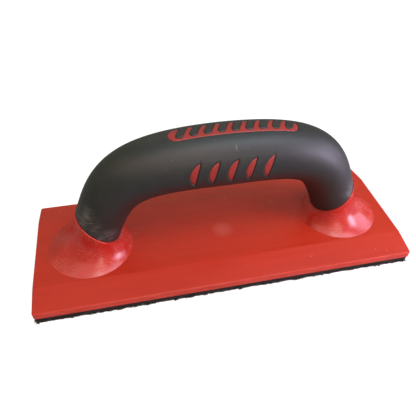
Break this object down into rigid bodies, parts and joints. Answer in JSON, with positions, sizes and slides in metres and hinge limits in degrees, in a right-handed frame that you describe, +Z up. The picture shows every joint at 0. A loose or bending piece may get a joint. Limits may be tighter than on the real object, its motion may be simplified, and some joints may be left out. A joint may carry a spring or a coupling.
{
  "type": "sanding block",
  "caption": "Hand sanding block: a long rigid plate with a bridge handle in a soft grip sleeve above and a hook-faced foam pad below that holds strips of abrasive.",
  "frame": {"origin": "centre of the working face of the hook sheet, the flat face that meets the abrasive", "axes": "+X along the block, +Y across it, +Z up from the working face towards the handle"},
  "size_m": [0.231, 0.086, 0.0886],
  "materials": {
    "plate_red": "satin moulded red plastic",
    "handle_red": "glossy moulded red plastic, slightly scuffed",
    "grip_black": "soft matt thermoplastic elastomer with a faint sheen",
    "pad_foam": "black closed-cell foam",
    "hook_nylon": "black nylon hook tape",
    "adhesive_film": "dark amber double-sided adhesive film",
    "screw_steel": "zinc-plated steel"
  },
  "bodies": {
    "root": {"base_plate": "plate_red", "handle_core": "handle_red", "grip_sleeve": "grip_black", "foam_pad": "pad_foam", "hook_sheet": "hook_nylon", "pad_adhesive": "adhesive_film", "hook_adhesive": "adhesive_film", "handle_screw_1": "screw_steel", "handle_screw_2": "screw_steel", "handle_screw_3": "screw_steel", "handle_screw_4": "screw_steel"}
  },
  "joints": []
}
